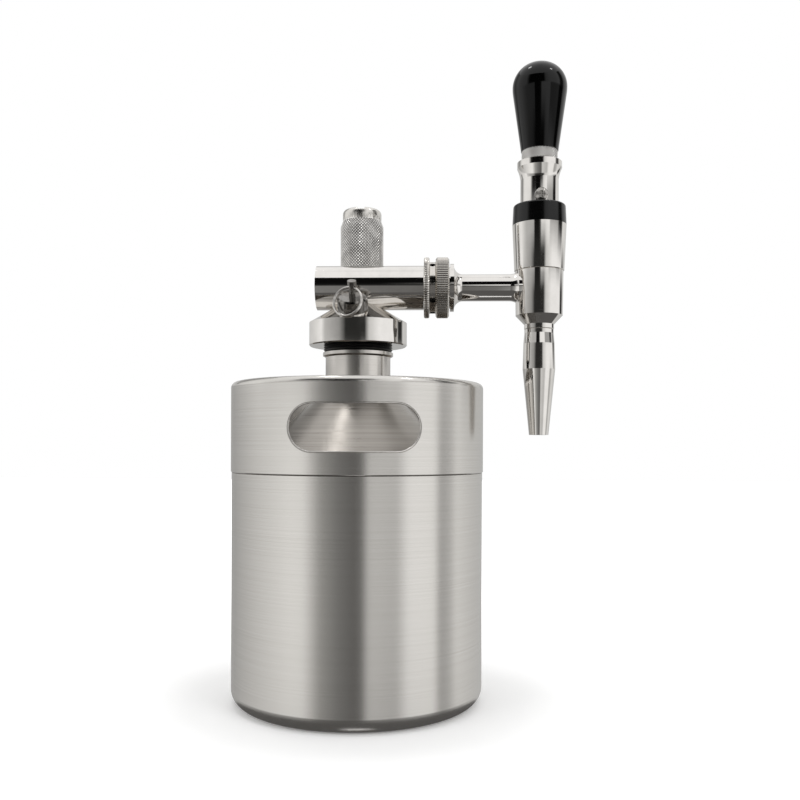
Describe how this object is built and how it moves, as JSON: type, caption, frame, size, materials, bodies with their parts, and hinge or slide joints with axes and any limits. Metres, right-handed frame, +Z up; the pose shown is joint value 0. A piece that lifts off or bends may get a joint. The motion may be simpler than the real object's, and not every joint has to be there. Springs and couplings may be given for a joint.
{
  "type": "mini keg drink dispenser",
  "caption": "Stainless mini keg with a screw-on pressure head, gas cartridge sleeve, relief valve and a stout faucet with a black lever knob.",
  "frame": {"origin": "on the keg's axis, at the surface it stands on", "axes": "+Z up along the keg's axis, the tap's arm along +X, the relief valve to the front along -Y"},
  "size_m": [0.1805, 0.1358, 0.3438],
  "materials": {
    "keg_steel": "brushed satin",
    "polished_steel": "mirror polished",
    "nut_steel": "polished with a machined knurl",
    "plain_steel": "turned",
    "zinc_steel": "zinc plated",
    "knurled_steel": "knurled",
    "rubber": "matt black",
    "black_plastic": "satin black",
    "knob_plastic": "glossy black",
    "white_plastic": "natural white",
    "brass": "machined"
  },
  "bodies": {
    "keg": {"keg_body": "keg_steel", "keg_shoulder": "keg_steel", "keg_neck": "keg_steel", "handle_ring": "keg_steel"},
    "neck_seal": {"neck_seal": "rubber"},
    "head": {"head_body": "polished_steel", "dip_tube": "plain_steel", "dip_tube_seal": "rubber", "piercing_pin": "plain_steel", "cartridge_seal": "rubber", "relief_body": "polished_steel", "tap_shank": "plain_steel", "shank_washer": "rubber"},
    "cartridge": {"gas_cartridge": "zinc_steel"},
    "sleeve": {"cartridge_sleeve": "knurled_steel"},
    "relief_stem": {"relief_stem": "polished_steel", "relief_seal": "rubber", "relief_spring": "plain_steel"},
    "pull_ring": {"pull_ring": "polished_steel"},
    "nut": {"coupling_nut": "nut_steel"},
    "faucet": {"faucet_body": "polished_steel", "bonnet": "polished_steel", "bonnet_seal": "rubber", "shaft_seal": "rubber", "bearing_cap": "black_plastic", "nozzle": "polished_steel", "nozzle_seal": "rubber", "restrictor_disc": "plain_steel", "flow_straightener": "white_plastic"},
    "valve": {"valve_shaft": "plain_steel", "seat_washer": "rubber"},
    "lever": {"lever_collar": "polished_steel", "pivot_screws": "polished_steel", "handle_stud": "plain_steel", "handle_ferrule": "knurled_steel", "knob": "knob_plastic", "knob_insert": "brass"}
  },
  "joints": [
    {"name": "head_lift", "type": "slide", "parent": "keg", "child": "neck_seal", "axis": [0, 0, 1], "range_m": [0, 0.00625]},
    {"name": "head_turn", "type": "hinge", "parent": "neck_seal", "child": "head", "pos_m": [0, 0, 0.19], "axis": [0, 0, 1], "range_deg": [0, 905]},
    {"name": "cartridge_lift", "type": "slide", "parent": "head", "child": "cartridge", "axis": [0, 0, 1], "range_m": [0, 0.006]},
    {"name": "sleeve_turn", "type": "hinge", "parent": "cartridge", "child": "sleeve", "pos_m": [0, 0.0245, 0.24], "axis": [0, 0, 1], "range_deg": [0, 1445]},
    {"name": "relief_pull", "type": "slide", "parent": "head", "child": "relief_stem", "axis": [0, -0.506, 0.8625], "range_m": [0, 0.0012], "stiffness_N_per_m": 1500, "springref_m": -0.002},
    {"name": "ring_swing", "type": "hinge", "parent": "relief_stem", "child": "pull_ring", "pos_m": [-0.00115, -0.02532, 0.21889], "axis": [-0.9135, 0.3508, 0.2058], "range_deg": [0, 125]},
    {"name": "nut_turn", "type": "hinge", "parent": "head", "child": "nut", "pos_m": [0.0425, 0, 0.2228], "axis": [1, 0, 0], "range_deg": [0, 362]},
    {"name": "faucet_slide", "type": "slide", "parent": "head", "child": "faucet", "axis": [1, 0, 0], "range_m": [0, 0.00181]},
    {"name": "valve_lift", "type": "slide", "parent": "faucet", "child": "valve", "axis": [0, 0, 1], "range_m": [0, 0.0056]},
    {"name": "lever_tilt", "type": "hinge", "parent": "valve", "child": "lever", "pos_m": [0.098, 0, 0.2706], "axis": [0, 1, 0], "range_deg": [0, 30]}
  ],
  "couplings": [
    {"joint": "head_turn", "follows": "head_lift", "rad_per_m": 2513.3},
    {"joint": "sleeve_turn", "follows": "cartridge_lift", "rad_per_m": 4188.8},
    {"joint": "nut_turn", "follows": "faucet_slide", "rad_per_m": 3463.7},
    {"joint": "valve_lift", "follows": "lever_tilt", "m_per_rad": 0.0105}
  ]
}
